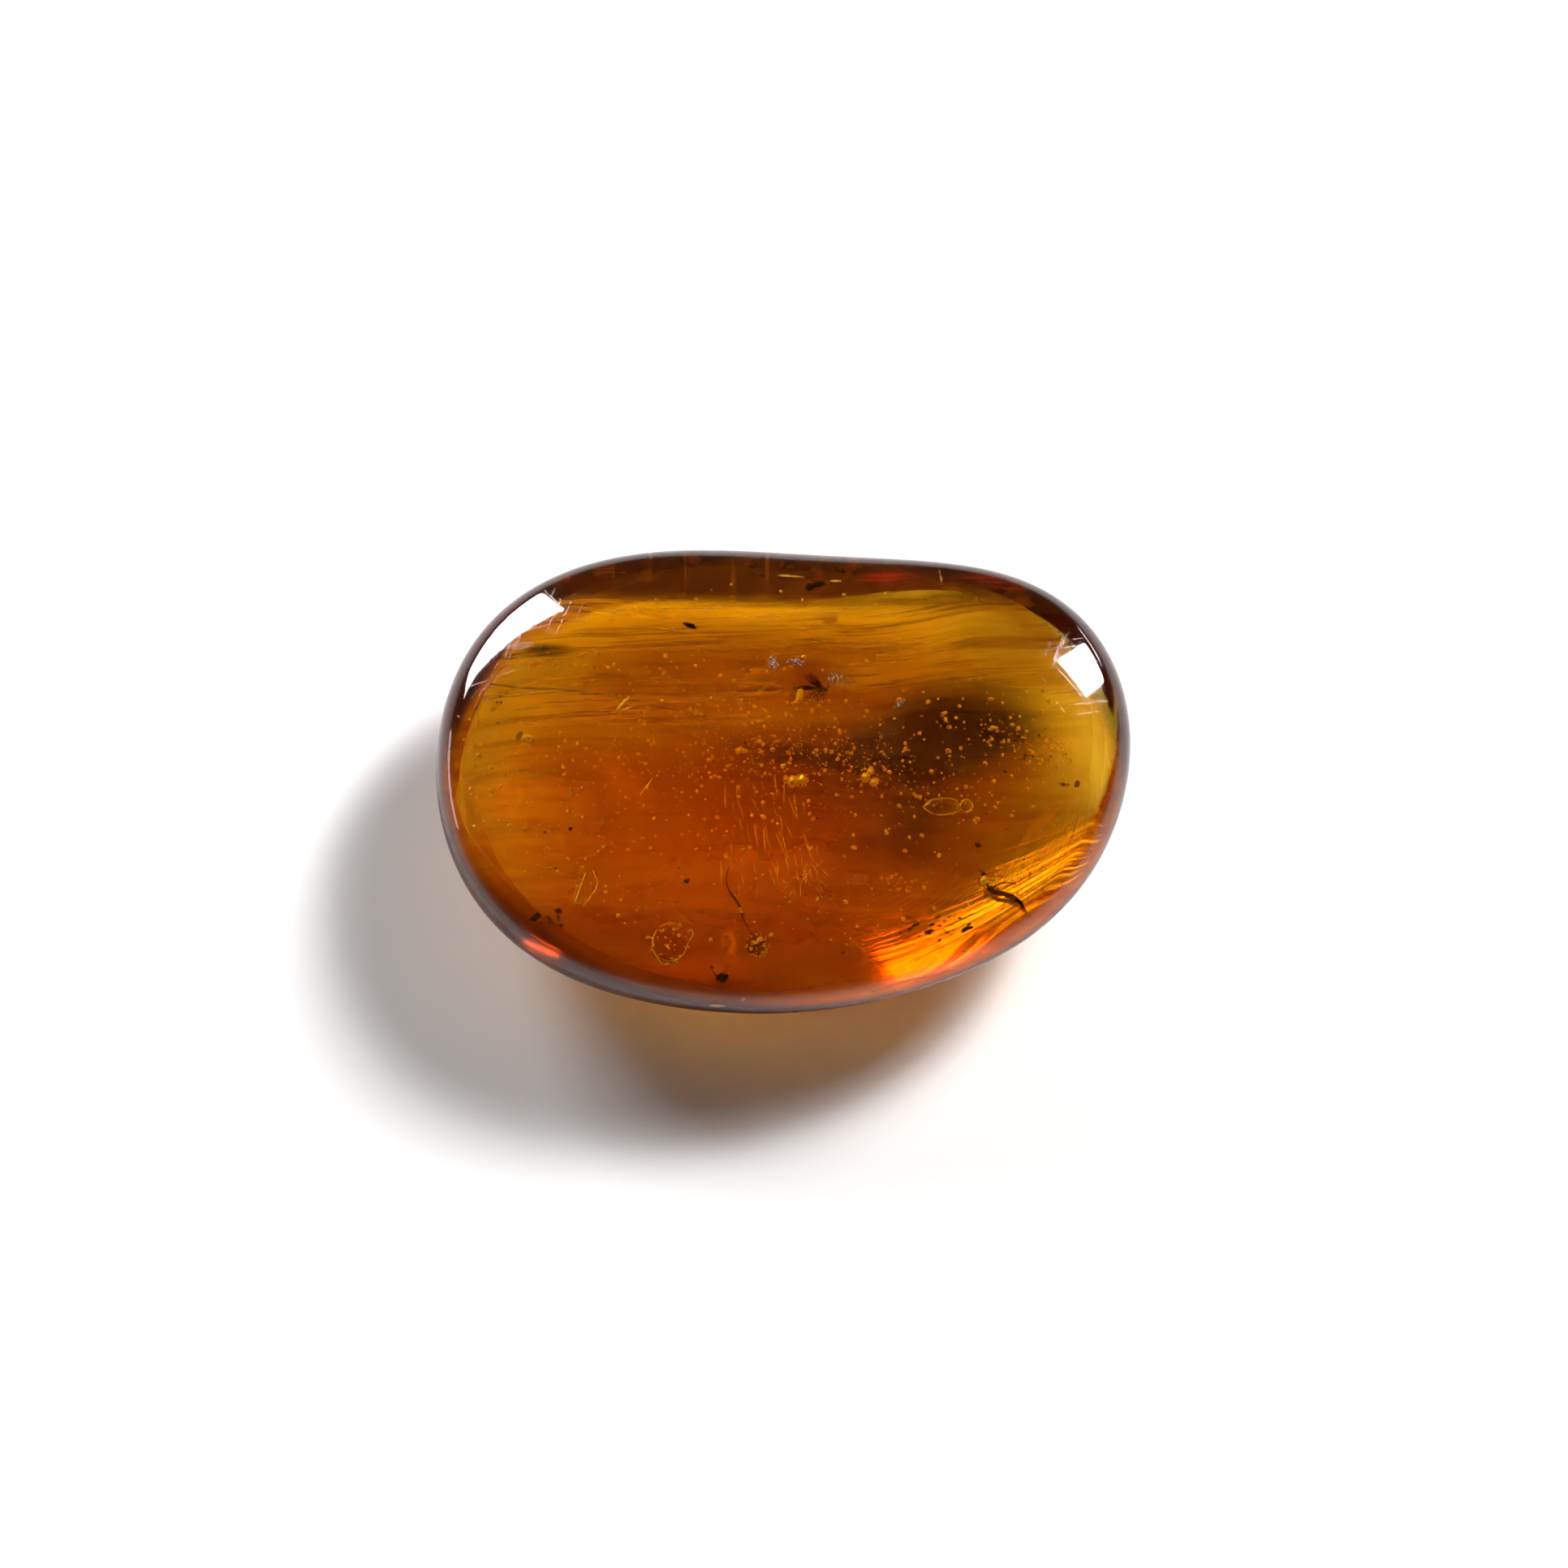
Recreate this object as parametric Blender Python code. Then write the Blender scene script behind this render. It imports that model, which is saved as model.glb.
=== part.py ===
"""A polished pebble of amber with a midge, a curled insect and a dark pellet sealed inside it.

Units are metres and +Z is up. The origin is on the surface that the pebble rests on, under the
middle of its outline. The long way of the pebble runs along X, and its straighter edge is at +Y.
"""
import math

import bmesh
import bpy
import numpy as np
from mathutils import Matrix, Vector

MM = 0.001

# Outline at the widest level, in millimetres, in even steps round from +X
OUTLINE = [
    (17.9, 0.0), (17.3, 6.3), (13.3, 10.6), (7.3, 12.0), (1.0, 12.4), (-5.2, 12.6),
    (-11.5, 11.4), (-16.3, 7.5), (-18.1, 1.7), (-17.1, -4.5), (-13.2, -9.4), (-7.5, -11.9),
    (-1.3, -12.6), (4.9, -11.9), (10.8, -9.7), (15.4, -5.8),
]
OUTLINE_WAVES = 7

# Heights of the pebble
THICKNESS = 10.0 * MM
WIDEST_LEVEL = 6.6 * MM

# The rounded rim above and below the widest level: how far in it reaches, and how high it is
RIM_WIDTH = 1.1 * MM
RIM_HEIGHT = 1.5 * MM

# The polished top: a shoulder that fades out towards the middle, and a slight overall dome
SHOULDER_REACH = 9.0 * MM
SHOULDER_POWER = 2.2
SHOULDER_PART = 0.8

# The belly: its fullness in eight directions from +X round, then the width and height of the steeper
# wall under its rim in millimetres, in the same directions
BELLY_FULLNESS = [1.65, 1.8, 1.9, 1.9, 1.7, 1.5, 1.5, 1.75]
WALL_WIDTH = [1.0, 2.2, 2.6, 3.1, 1.5, 1.1, 1.1, 1.1]
WALL_HEIGHT = [1.5, 3.4, 4.8, 5.0, 2.4, 1.5, 1.5, 1.5]
WALL_POWER = 1.25
BELLY_WAVES = 3

# The flat spot that it rests on, whose edge is the second ring of the mesh from the bottom
REST_CENTRE = (-0.5 * MM, 0.5 * MM)
REST_RING = 2

# The pebble's mesh
RIM_SIDES = 64
RINGS = 32

# The level at which the clear solid is parted in two, and the gap between the halves
SEAM_LEVEL = WIDEST_LEVEL
SEAM_GAP = 0.3 * MM

# Where each inclusion lies in plan, and the half sizes of its pocket
MIDGE_PLACE = (1.45 * MM, 4.55 * MM)
MIDGE_POCKET = (1.6 * MM, 1.4 * MM, 0.9 * MM)
CURLED_PLACE = (11.3 * MM, -6.35 * MM)
CURLED_POCKET = (1.6 * MM, 1.25 * MM, 0.85 * MM)
PELLET_PLACE = (1.65 * MM, 10.15 * MM)
PELLET_POCKET = (1.1 * MM, 0.8 * MM, 0.7 * MM)


def clear_scene():
    for old in list(bpy.data.objects):
        bpy.data.objects.remove(old, do_unlink=True)


def new_collection(name):
    collection = bpy.data.collections.new(name)
    bpy.context.scene.collection.children.link(collection)
    return collection


def plain_material(name, colour, roughness, transmission=0.0, ior=1.5):
    material = bpy.data.materials.new(name)
    material.use_nodes = True
    shader = material.node_tree.nodes["Principled BSDF"]
    shader.inputs["Base Color"].default_value = (*colour, 1.0)
    shader.inputs["Roughness"].default_value = roughness
    shader.inputs["Metallic"].default_value = 0.0
    shader.inputs["Transmission Weight"].default_value = transmission
    shader.inputs["IOR"].default_value = ior
    material.diffuse_color = (*colour, 1.0)
    return material


# Smooth closed curves: a sum of a few waves, fitted to values given in even steps round the circle
def wave_row(angle, waves):
    row = [1.0]
    for n in range(1, waves + 1):
        row += [math.cos(n * angle), math.sin(n * angle)]
    return row


def smooth_ring(values, waves):
    rows = [wave_row(math.tau * i / len(values), waves) for i in range(len(values))]
    weights = np.linalg.lstsq(np.array(rows), np.array(values), rcond=None)[0]
    return lambda angle: np.dot(wave_row(angle, waves), weights)


outline = smooth_ring(OUTLINE, OUTLINE_WAVES)
fullness = smooth_ring(BELLY_FULLNESS, BELLY_WAVES)
wall_width = smooth_ring(WALL_WIDTH, BELLY_WAVES)
wall_height = smooth_ring(WALL_HEIGHT, BELLY_WAVES)


# The pebble: a sphere whose points are drawn out to the outline, the polished top and the belly
def rim_rise(inward):
    t = min(inward / RIM_WIDTH, 1.0)
    return RIM_HEIGHT * math.sqrt(1.0 - (1.0 - t) ** 2)


def top_point(angle, share):
    rim = Vector(outline(angle)) * MM
    inward = (1.0 - share) * rim.length
    reach = min(inward / SHOULDER_REACH, 1.0)
    shoulder = 1.0 - (1.0 - reach) ** SHOULDER_POWER
    dome = 1.0 - share ** 2
    crown = THICKNESS - WIDEST_LEVEL - RIM_HEIGHT
    rise = crown * (SHOULDER_PART * shoulder + (1.0 - SHOULDER_PART) * dome)
    place = share * rim
    return Vector((place.x, place.y, WIDEST_LEVEL + rim_rise(inward) + rise))


def belly_point(angle, share):
    centre = Vector(REST_CENTRE)
    outward = Vector(outline(angle)) * MM - centre
    inward = (1.0 - share) * outward.length
    rest_share = math.sin(math.pi * REST_RING / RINGS)
    slope_share = max(share - rest_share, 0.0) / (1.0 - rest_share)
    heading = math.atan2(outward.y, outward.x)
    bowl = slope_share ** float(fullness(heading))
    wall = float(wall_height(heading)) * MM
    t = min(inward / (float(wall_width(heading)) * MM), 1.0)
    drop = wall * (1.0 - (1.0 - t) ** WALL_POWER) ** (1.0 / WALL_POWER)
    height = (WIDEST_LEVEL - wall) * bowl + wall - drop
    place = centre + share * outward
    return Vector((place.x, place.y, height))


def pebble_mesh():
    bm = bmesh.new()
    bmesh.ops.create_uvsphere(bm, u_segments=RIM_SIDES, v_segments=RINGS, radius=1.0)
    for vert in bm.verts:
        angle = math.atan2(vert.co.y, vert.co.x)
        share = min(math.hypot(vert.co.x, vert.co.y), 1.0)
        shape = top_point if vert.co.z >= 0.0 else belly_point
        vert.co = shape(angle, share)
    mesh = bpy.data.meshes.new("pebble")
    bm.to_mesh(mesh)
    bm.free()
    mesh.shade_smooth()
    return mesh


def cutter(name, centre, half_size, cutters, round_shape):
    bm = bmesh.new()
    if round_shape:
        bmesh.ops.create_uvsphere(bm, u_segments=20, v_segments=12, radius=1.0)
    else:
        bmesh.ops.create_cube(bm, size=2.0)
    bmesh.ops.scale(bm, vec=Vector(half_size), verts=bm.verts)
    mesh = bpy.data.meshes.new(name)
    bm.to_mesh(mesh)
    bm.free()
    obj = bpy.data.objects.new(name, mesh)
    obj.location = centre
    obj.hide_render = True
    obj.display_type = "WIRE"
    cutters.objects.link(obj)
    return obj


def boolean(obj, other, operation):
    modifier = obj.modifiers.new(other.name, "BOOLEAN")
    modifier.operation = operation
    modifier.solver = "EXACT"
    modifier.object = other


def amber_half(name, side, pockets, material, parts, cutters):
    mesh = pebble_mesh()
    mesh.materials.append(material)
    half = bpy.data.objects.new(name, mesh)
    parts.objects.link(half)
    depth = 20 * MM
    level = SEAM_LEVEL + side * (SEAM_GAP / 2 + depth)
    keep = cutter(name + "_keep", (0, 0, level), (30 * MM, 30 * MM, depth), cutters, False)
    boolean(half, keep, "INTERSECT")
    for pocket in pockets:
        boolean(half, pocket, "DIFFERENCE")
    return half


# Small solids that the inclusions are fused from, in millimetres about their own middle
def ball(name, centre, half_size, turn=0.0, sides=12):
    bm = bmesh.new()
    bmesh.ops.create_uvsphere(bm, u_segments=sides, v_segments=sides * 2 // 3, radius=1.0)
    bmesh.ops.scale(bm, vec=Vector(half_size) * MM, verts=bm.verts)
    bmesh.ops.rotate(bm, matrix=Matrix.Rotation(math.radians(turn), 3, "Z"), verts=bm.verts)
    bmesh.ops.translate(bm, vec=Vector(centre) * MM, verts=bm.verts)
    mesh = bpy.data.meshes.new(name)
    bm.to_mesh(mesh)
    bm.free()
    mesh.shade_smooth()
    return bpy.data.objects.new(name, mesh)


def tube(name, points, radii, sides=0):
    curve = bpy.data.curves.new(name, "CURVE")
    curve.dimensions = "3D"
    curve.bevel_depth = 1.0 * MM
    curve.bevel_resolution = sides
    curve.use_fill_caps = True
    spline = curve.splines.new("POLY")
    spline.points.add(len(points) - 1)
    for point, place, radius in zip(spline.points, points, radii):
        point.co = (*(Vector(place) * MM), 1.0)
        point.radius = radius
    wire = bpy.data.objects.new(name, curve)
    bpy.context.scene.collection.objects.link(wire)
    evaluated = wire.evaluated_get(bpy.context.evaluated_depsgraph_get())
    mesh = bpy.data.meshes.new_from_object(evaluated)
    bpy.data.objects.remove(wire, do_unlink=True)
    bm = bmesh.new()
    bm.from_mesh(mesh)
    bmesh.ops.remove_doubles(bm, verts=bm.verts, dist=0.001 * MM)
    bmesh.ops.recalc_face_normals(bm, faces=bm.faces)
    bm.to_mesh(mesh)
    bm.free()
    mesh.name = name
    mesh.shade_smooth()
    return bpy.data.objects.new(name, mesh)


def fuse(name, pieces, place, material, parts):
    body, rest = pieces[0], pieces[1:]
    body.name = name
    body.location = (*place, SEAM_LEVEL)
    body.data.materials.append(material)
    parts.objects.link(body)
    limbs = new_collection(name + "_limbs")
    for piece in rest:
        piece.location = body.location
        piece.hide_render = True
        piece.display_type = "WIRE"
        limbs.objects.link(piece)
    union = body.modifiers.new("limbs", "BOOLEAN")
    union.operation = "UNION"
    union.solver = "EXACT"
    union.operand_type = "COLLECTION"
    union.collection = limbs
    union.use_self = True
    return body


def smooth_path(points, steps):
    knots = [Vector(p) for p in points]
    knots = [2 * knots[0] - knots[1]] + knots + [2 * knots[-1] - knots[-2]]
    path = []
    for a, b, c, d in zip(knots, knots[1:], knots[2:], knots[3:]):
        for i in range(steps):
            t = i / steps
            bend = (2 * a - 5 * b + 4 * c - d) * t * t + (-a + 3 * b - 3 * c + d) * t ** 3
            path.append(0.5 * (2 * b + (c - a) * t + bend))
    return path + [knots[-2]]


def limb(name, points, thick, thin):
    path = smooth_path(points, 2)
    last = len(path) - 1
    radii = [thick + (thin - thick) * i / last for i in range(last + 1)]
    return tube(name, path, radii)


def midge_wing(name, root, tip, half_width, level):
    root, tip = Vector(root), Vector(tip)
    middle = (root + tip) / 2
    along = tip - root
    turn = math.degrees(math.atan2(along.y, along.x))
    size = (along.length / 2, half_width, 0.03)
    return ball(name, (middle.x, middle.y, level), size, turn, 14)


# The midge lies on its side: abdomen to the left, head to the right, wings swept up and back
def build_midge(parts, material):
    thorax = ball("thorax", (0.42, 0.0, 0.0), (0.27, 0.21, 0.22), -12)
    pieces = [thorax]
    rings = 7
    for i in range(rings):
        t = i / (rings - 1)
        girth = 0.07 + 0.075 * math.sin(math.pi * (0.25 + 0.6 * t))
        centre = (-0.86 + 1.05 * t, 0.03 * math.sin(3.0 * t), 0.0)
        pieces.append(ball("abdomen_ring", centre, (0.125, girth, girth), 0, 12))
    pieces.append(ball("head", (0.72, -0.05, 0.0), (0.12, 0.12, 0.12)))
    pieces.append(ball("eye", (0.76, -0.06, 0.08), (0.065, 0.075, 0.06), 0, 10))
    pieces.append(ball("eye", (0.76, -0.06, -0.08), (0.065, 0.075, 0.06), 0, 10))
    pieces.append(limb("feeler", [(0.76, 0.0, 0.05), (0.86, 0.12, 0.1), (0.84, 0.28, 0.16)], 0.03, 0.022))
    pieces.append(limb("feeler", [(0.78, -0.02, -0.05), (0.92, 0.06, -0.1), (0.98, 0.18, -0.16)], 0.03, 0.022))
    pieces.append(limb("beak", [(0.74, -0.12, 0.0), (0.77, -0.22, 0.02), (0.76, -0.32, 0.04)], 0.035, 0.024))
    knees = [
        ((0.55, -0.12, 0.1), (0.66, -0.34, 0.2), (0.42, -0.44, 0.24), (0.52, -0.58, 0.26)),
        ((0.44, -0.14, 0.12), (0.34, -0.36, 0.22), (0.14, -0.42, 0.26), (0.12, -0.6, 0.24)),
        ((0.3, -0.13, 0.1), (0.1, -0.3, 0.2), (-0.12, -0.34, 0.22), (-0.26, -0.52, 0.2)),
        ((0.5, -0.13, -0.1), (0.58, -0.32, -0.22), (0.66, -0.48, -0.26), (0.56, -0.6, -0.3)),
        ((0.4, -0.14, -0.12), (0.26, -0.34, -0.22), (0.32, -0.5, -0.28), (0.22, -0.62, -0.3)),
        ((0.28, -0.12, -0.1), (0.0, -0.24, -0.2), (-0.1, -0.44, -0.24), (-0.34, -0.4, -0.26)),
    ]
    for knee in knees:
        pieces.append(limb("leg", knee, 0.038, 0.024))
    pieces.append(midge_wing("wing", (0.5, 0.08), (-0.38, 0.66), 0.2, 0.14))
    pieces.append(midge_wing("wing", (0.48, 0.08), (-0.12, 0.84), 0.18, -0.14))
    return fuse("midge", pieces, MIDGE_PLACE, material, parts)


# The curled insect: an arched body with a forked tail, a torn membrane under it and one long feeler
def build_curled_insect(parts, material):
    spine = smooth_path([
        (-0.95, 0.42, 0.0), (-0.7, 0.2, 0.0), (-0.3, 0.13, 0.02), (0.2, 0.02, 0.0),
        (0.55, -0.22, 0.0), (0.8, -0.46, 0.0)], 4)
    last = len(spine) - 1
    radii = [0.075 + 0.05 * math.sin(math.pi * (i / last) ** 0.8) for i in range(last + 1)]
    body = tube("curled_body", spine, radii, 2)
    pieces = [body]
    pieces.append(ball("curled_head", (-0.8, 0.32, 0.0), (0.2, 0.15, 0.15), -40))
    pieces.append(ball("membrane", (0.2, -0.14, 0.0), (0.34, 0.12, 0.04), -24, 16))
    pieces.append(limb("tail_fork", [(0.78, -0.44, 0.0), (0.8, -0.58, 0.05), (0.76, -0.68, 0.08)], 0.05, 0.024))
    pieces.append(limb("tail_fork", [(0.78, -0.44, 0.0), (0.88, -0.56, -0.05), (0.9, -0.68, -0.06)], 0.05, 0.024))
    pieces.append(limb(
        "feeler", [(-0.74, 0.36, 0.08), (-0.5, 0.5, 0.2), (-0.1, 0.62, 0.26), (0.5, 0.58, 0.22)], 0.036, 0.03))
    pieces.append(limb("leg", [(-0.88, 0.38, 0.0), (-1.02, 0.6, 0.12), (-1.1, 0.78, 0.16)], 0.04, 0.026))
    pieces.append(limb("leg", [(-0.86, 0.34, -0.05), (-1.08, 0.42, -0.18), (-1.2, 0.56, -0.26)], 0.04, 0.026))
    for i in range(3):
        x = -0.35 + 0.3 * i
        pieces.append(limb(
            "leg", [(x, 0.08 - 0.05 * i, 0.05), (x + 0.02, -0.12, 0.24), (x - 0.12, -0.3, 0.3)], 0.036, 0.024))
    return fuse("curled_insect", pieces, CURLED_PLACE, material, parts)


# The pellet: two dark lobes grown together, with one thin curved hair of debris at its end
def build_black_pellet(parts, material):
    pieces = [
        ball("lobe", (0.16, 0.07, 0.0), (0.38, 0.2, 0.2), 14, 16),
        ball("lobe", (-0.3, -0.08, 0.0), (0.28, 0.22, 0.22), 30, 16),
        limb("hair", [(0.48, 0.02, 0.02), (0.6, 0.03, 0.06), (0.7, -0.06, 0.06)], 0.03, 0.02),
    ]
    return fuse("black_pellet", pieces, PELLET_PLACE, material, parts)


def main():
    clear_scene()
    parts = new_collection("amber_with_insects")
    cutters = new_collection("amber_cutters")
    amber = plain_material("clear_amber", (0.85, 0.36, 0.03), 0.03, 0.9, 1.54)
    husk = plain_material("insect_husk", (0.05, 0.02, 0.008), 0.45)
    debris = plain_material("dark_debris", (0.008, 0.008, 0.009), 0.6)
    places = [
        ("midge_pocket", MIDGE_PLACE, MIDGE_POCKET),
        ("curled_pocket", CURLED_PLACE, CURLED_POCKET),
        ("pellet_pocket", PELLET_PLACE, PELLET_POCKET),
    ]
    pockets = [cutter(name, (*at, SEAM_LEVEL), size, cutters, True) for name, at, size in places]
    amber_half("amber_upper", 1, pockets, amber, parts, cutters)
    amber_half("amber_lower", -1, pockets, amber, parts, cutters)
    build_midge(parts, husk)
    build_curled_insect(parts, husk)
    build_black_pellet(parts, debris)


main()
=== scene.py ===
"""A polished pebble of clear amber with insects, bubbles and flow streaks sealed inside it."""
import math

import bmesh
import bpy
import numpy as np
from mathutils import Matrix, Vector
from mathutils.noise import fractal


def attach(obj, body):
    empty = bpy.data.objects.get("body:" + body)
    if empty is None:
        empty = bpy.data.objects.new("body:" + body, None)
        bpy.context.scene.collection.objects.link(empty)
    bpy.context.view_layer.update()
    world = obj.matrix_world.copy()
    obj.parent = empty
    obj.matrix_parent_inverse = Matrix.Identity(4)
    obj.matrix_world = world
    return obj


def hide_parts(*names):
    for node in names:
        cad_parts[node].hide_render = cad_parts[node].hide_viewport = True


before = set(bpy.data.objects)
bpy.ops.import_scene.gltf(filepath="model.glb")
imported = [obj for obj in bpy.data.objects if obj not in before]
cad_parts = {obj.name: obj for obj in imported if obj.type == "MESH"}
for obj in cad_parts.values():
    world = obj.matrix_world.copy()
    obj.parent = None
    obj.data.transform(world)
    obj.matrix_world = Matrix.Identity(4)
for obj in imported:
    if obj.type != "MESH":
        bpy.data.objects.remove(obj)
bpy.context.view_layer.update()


# The camera looks steeply down on the polished face, as the photographer did over a copy stand.
# The pebble fills a little under half of the frame's width and lies a touch above its middle.
MM = 0.001
CAMERA_RISE = math.radians(72)
LENS = 100
SENSOR_WIDTH = 36
FRAME_WIDTH = 81.6 * MM
AIM_LEVEL = 6.6 * MM
AIM_DROP = 0.25 * MM
NEAREST = 1 * MM
FARTHEST = 100

scene = bpy.context.scene
for leftover in [obj for obj in scene.objects if obj.type in {"CAMERA", "LIGHT"}]:
    bpy.data.objects.remove(leftover, do_unlink=True)
camera_data = bpy.data.cameras.new("camera")
camera_data.lens = LENS
camera_data.sensor_width = SENSOR_WIDTH
camera_data.clip_start = NEAREST
camera_data.clip_end = FARTHEST
camera = bpy.data.objects.new("camera", camera_data)
scene.collection.objects.link(camera)
scene.camera = camera
towards_camera = Vector((0, -math.cos(CAMERA_RISE), math.sin(CAMERA_RISE)))
aim = Vector((0, -AIM_DROP, AIM_LEVEL))
camera.location = aim + towards_camera * FRAME_WIDTH * LENS / SENSOR_WIDTH
camera.rotation_euler = (-towards_camera).to_track_quat("-Z", "Y").to_euler()


# The pebble is one natural lump of fossil resin, ground to a lopsided oval and polished all over.
# Its top is nearly flat with a soft shoulder, its rim is narrow, and its belly rests on a flat spot.
OUTLINE = [
    (17.9, 0.0), (17.3, 6.3), (13.3, 10.6), (7.3, 12.0), (1.0, 12.4), (-5.2, 12.6),
    (-11.5, 11.4), (-16.3, 7.5), (-18.1, 1.7), (-17.1, -4.5), (-13.2, -9.4), (-7.5, -11.9),
    (-1.3, -12.6), (4.9, -11.9), (10.8, -9.7), (15.4, -5.8),
]
OUTLINE_WAVES = 7
THICKNESS = 10.0 * MM
WIDEST_LEVEL = 6.6 * MM
RIM_WIDTH = 1.1 * MM
RIM_HEIGHT = 1.5 * MM
SHOULDER_REACH = 9.0 * MM
SHOULDER_POWER = 2.2
SHOULDER_PART = 0.8
BELLY_FULLNESS = [1.65, 1.8, 1.9, 1.9, 1.7, 1.5, 1.5, 1.75]
BELLY_WAVES = 3
WALL_WIDTH = [1.0, 2.2, 2.6, 3.1, 1.5, 1.1, 1.1, 1.1]
WALL_HEIGHT = [1.5, 3.4, 4.8, 5.0, 2.4, 1.5, 1.5, 1.5]
WALL_POWER = 1.25
REST_CENTRE = (-0.5 * MM, 0.5 * MM)
REST_SHARE = math.sin(math.pi * 2 / 32)
RIM_SIDES = 224
RINGS = 112
AMBER_IOR = 1.54
AMBER_TINT = (0.975, 0.84, 0.0)
AMBER_DENSITY = 700
HALF_LENGTH = 18.0 * MM
HALF_WIDTH = 12.5 * MM
BELLY_HAZE = 0.2
WALL_HAZE = 0.1
HAZE_LEVELS = (0.6 * MM, 2.6 * MM)
BELLY_TOP = WIDEST_LEVEL - 2.2 * MM
BELLY_START = WIDEST_LEVEL - 3.0 * MM
BELLY_RIPPLE = 0.03 * MM
POLISH_HAZE = 0.05
SCRATCH_DEPTH = 0.0006 * MM
SCRATCH_TURNS = (20, 75, -40)


def wave_row(angle, waves):
    row = [1.0]
    for n in range(1, waves + 1):
        row += [math.cos(n * angle), math.sin(n * angle)]
    return row


def smooth_ring(values, waves):
    rows = [wave_row(math.tau * i / len(values), waves) for i in range(len(values))]
    weights = np.linalg.lstsq(np.array(rows), np.array(values), rcond=None)[0]
    return lambda angle: np.dot(wave_row(angle, waves), weights)


outline = smooth_ring(OUTLINE, OUTLINE_WAVES)
fullness = smooth_ring(BELLY_FULLNESS, BELLY_WAVES)
wall_width = smooth_ring(WALL_WIDTH, BELLY_WAVES)
wall_height = smooth_ring(WALL_HEIGHT, BELLY_WAVES)


def rim_rise(inward):
    t = min(inward / RIM_WIDTH, 1.0)
    return RIM_HEIGHT * math.sqrt(1.0 - (1.0 - t) ** 2)


def top_point(angle, share):
    rim = Vector(outline(angle)) * MM
    inward = (1.0 - share) * rim.length
    reach = min(inward / SHOULDER_REACH, 1.0)
    shoulder = 1.0 - (1.0 - reach) ** SHOULDER_POWER
    dome = 1.0 - share ** 2
    crown = THICKNESS - WIDEST_LEVEL - RIM_HEIGHT
    rise = crown * (SHOULDER_PART * shoulder + (1.0 - SHOULDER_PART) * dome)
    place = share * rim
    return Vector((place.x, place.y, WIDEST_LEVEL + rim_rise(inward) + rise))


def belly_point(angle, share):
    centre = Vector(REST_CENTRE)
    outward = Vector(outline(angle)) * MM - centre
    inward = (1.0 - share) * outward.length
    slope_share = max(share - REST_SHARE, 0.0) / (1.0 - REST_SHARE)
    heading = math.atan2(outward.y, outward.x)
    bowl = slope_share ** float(fullness(heading))
    wall = float(wall_height(heading)) * MM
    t = min(inward / (float(wall_width(heading)) * MM), 1.0)
    drop = wall * (1.0 - (1.0 - t) ** WALL_POWER) ** (1.0 / WALL_POWER)
    height = (WIDEST_LEVEL - wall) * bowl + wall - drop
    place = centre + share * outward
    return Vector((place.x, place.y, height))


def new_object(name, mesh):
    obj = bpy.data.objects.new(name, mesh)
    scene.collection.objects.link(obj)
    return obj


def smooth_mesh(name, form):
    """The plain smooth mesh of a finished bmesh, which is freed."""
    mesh = bpy.data.meshes.new(name)
    form.to_mesh(mesh)
    form.free()
    mesh.shade_smooth()
    return mesh


pebble = bmesh.new()
bmesh.ops.create_uvsphere(pebble, u_segments=RIM_SIDES, v_segments=RINGS, radius=1.0)
for vert in pebble.verts:
    turn = math.atan2(vert.co.y, vert.co.x)
    share = min(math.hypot(vert.co.x, vert.co.y), 1.0)
    shape = top_point if vert.co.z >= 0.0 else belly_point
    vert.co = shape(turn, share)
amber_mesh = smooth_mesh("clear_amber", pebble)


class Socket:
    """One output socket of a node tree, whose arithmetic adds the matching Math nodes."""

    def __init__(self, tree, socket=None):
        self.tree = tree
        self.socket = socket

    def node(self, kind, settings=None, values=None, output=0):
        """A new node's output, after its settings and then its inputs are filled in."""
        node = self.tree.nodes.new(kind)
        for name, value in (settings or {}).items():
            if name == "stops":
                set_stops(node.color_ramp, value)
            else:
                setattr(node, name, value)
        set_inputs(node, values or {})
        return Socket(self.tree, node.outputs[output])

    def maths(self, operation, *inputs):
        return self.node("ShaderNodeMath", {"operation": operation}, dict(enumerate(inputs)))

    def at_most(self, limit):
        return self.maths("MINIMUM", self, limit)

    def __add__(self, other):
        return self.maths("ADD", self, other)

    def __sub__(self, other):
        return self.maths("SUBTRACT", self, other)

    def __mul__(self, other):
        return self.maths("MULTIPLY", self, other)

    def __truediv__(self, other):
        return self.maths("DIVIDE", self, other)

    def __pow__(self, other):
        return self.maths("POWER", self, other)

    def __rsub__(self, other):
        return self.maths("SUBTRACT", other, self)

    __radd__ = __add__
    __rmul__ = __mul__


def set_inputs(node, values):
    """Fill a node's inputs, by name or number, with plain values or with links."""
    for name, value in values.items():
        if isinstance(value, Socket):
            value.tree.links.new(value.socket, node.inputs[name])
        else:
            node.inputs[name].default_value = value


def set_stops(ramp, stops):
    """Give a grey colour ramp these (position, value) stops."""
    while len(ramp.elements) < len(stops):
        ramp.elements.new(0.5)
    for element, (position, value) in zip(ramp.elements, stops):
        element.position = position
        element.color = (value, value, value, 1.0)


def new_material(name):
    """A material and its Principled shader node."""
    material = bpy.data.materials.new(name)
    material.use_nodes = True
    return material, material.node_tree.nodes["Principled BSDF"]


def place_on(material):
    """A point's own place on the piece, in metres."""
    return Socket(material.node_tree).node("ShaderNodeTexCoord", output="Object")


def ramp(value, low, high, start=0.0, end=1.0):
    """A soft step from start, where the value is low, to end, where it is high."""
    values = {"Value": value, "From Min": low, "From Max": high, "To Min": start, "To Max": end}
    return value.node("ShaderNodeMapRange", {"interpolation_type": "SMOOTHSTEP"}, values)


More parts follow.
